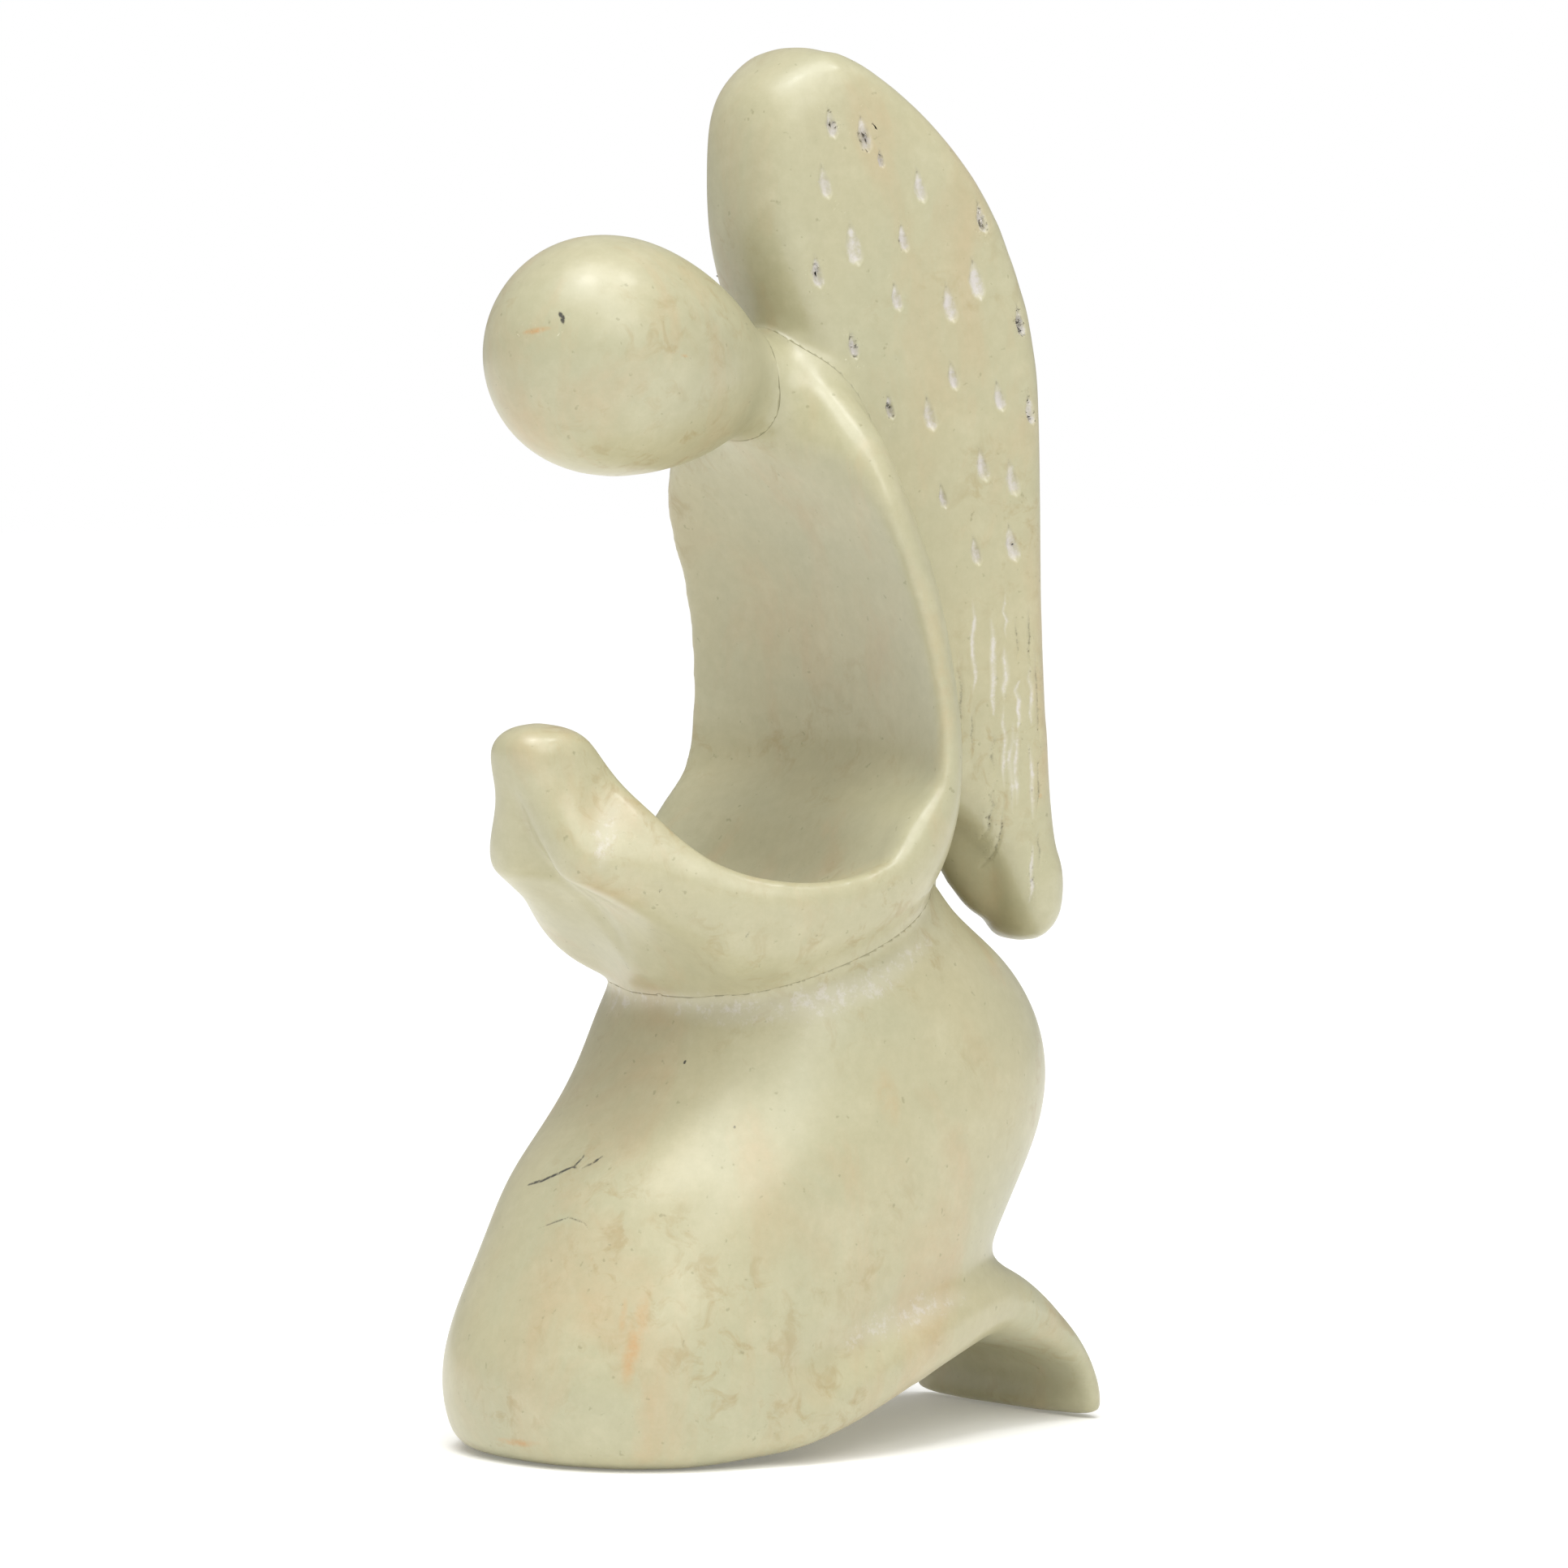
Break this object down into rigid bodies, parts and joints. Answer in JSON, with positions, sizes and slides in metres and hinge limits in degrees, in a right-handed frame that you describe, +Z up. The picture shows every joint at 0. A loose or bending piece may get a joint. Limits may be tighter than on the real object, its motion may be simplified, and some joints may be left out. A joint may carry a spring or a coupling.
{
  "type": "angel figurine",
  "caption": "Kneeling, praying angel carved in pale soapstone, with a plain egg-shaped head, joined hands, wings behind the head and a robe with an arched train.",
  "frame": {"origin": "on the resting plane, in the plane of symmetry, halfway between the knees and the rear of the train", "axes": "+Z up, the figure faces -Y, its left side is +X"},
  "size_m": [0.0632, 0.1026, 0.2025],
  "materials": {
    "soapstone": "polished soapstone, waxed to a satin"
  },
  "bodies": {
    "root": {"head": "soapstone", "torso": "soapstone", "left_arm": "soapstone", "right_arm": "soapstone", "left_hand": "soapstone", "right_hand": "soapstone", "left_wing": "soapstone", "right_wing": "soapstone", "skirt": "soapstone", "train": "soapstone"}
  },
  "joints": []
}
